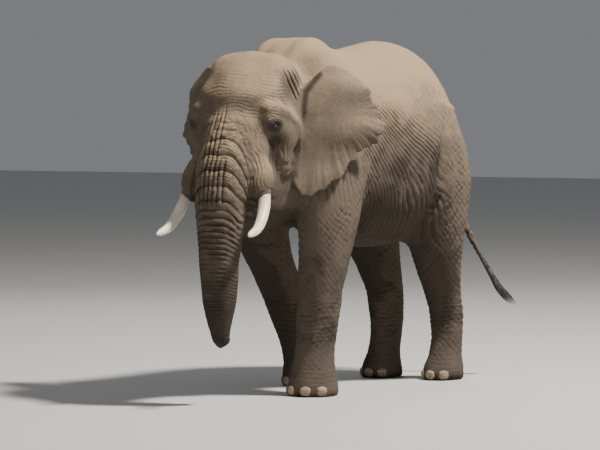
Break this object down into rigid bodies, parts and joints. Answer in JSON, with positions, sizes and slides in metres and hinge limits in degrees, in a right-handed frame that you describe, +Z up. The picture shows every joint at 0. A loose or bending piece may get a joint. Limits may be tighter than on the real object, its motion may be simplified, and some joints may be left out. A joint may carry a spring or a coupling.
{
  "type": "elephant",
  "caption": "Life-size still model of an African bush elephant bull in mid-walk, ears back, trunk hanging, standing on flat soles.",
  "frame": {"origin": "on the ground plane under the middle of the animal's bounding box", "axes": "+Z up, -Y the way the body faces, +X the animal's left side; the head is turned 15 degrees to its left"},
  "size_m": [1.983, 4.5876, 3.2994],
  "materials": {
    "hide": "dusty, deeply wrinkled",
    "ivory": "smooth, stained towards the lip",
    "eye": "wet gloss",
    "nail": "worn horn",
    "tail_hair": "coarse wiry hair"
  },
  "bodies": {
    "root": {"body": "hide", "neck": "hide", "head": "hide", "jaw": "hide", "trunk_upper": "hide", "trunk_middle": "hide", "trunk_lower": "hide", "ear_left": "hide", "ear_right": "hide", "foreleg_left_upper": "hide", "foreleg_left_lower": "hide", "foreleg_left_foot": "hide", "foreleg_right_upper": "hide", "foreleg_right_lower": "hide", "foreleg_right_foot": "hide", "hindleg_left_upper": "hide", "hindleg_left_lower": "hide", "hindleg_left_foot": "hide", "hindleg_right_upper": "hide", "hindleg_right_lower": "hide", "hindleg_right_foot": "hide", "tail": "hide", "tail_tuft": "tail_hair", "eye_left": "eye", "eye_right": "eye", "tusk_left": "ivory", "tusk_right": "ivory", "foreleg_left_nail_1": "nail", "foreleg_left_nail_2": "nail", "foreleg_left_nail_3": "nail", "foreleg_left_nail_4": "nail", "foreleg_right_nail_1": "nail", "foreleg_right_nail_2": "nail", "foreleg_right_nail_3": "nail", "foreleg_right_nail_4": "nail", "hindleg_left_nail_1": "nail", "hindleg_left_nail_2": "nail", "hindleg_left_nail_3": "nail", "hindleg_right_nail_1": "nail", "hindleg_right_nail_2": "nail", "hindleg_right_nail_3": "nail"}
  },
  "joints": []
}
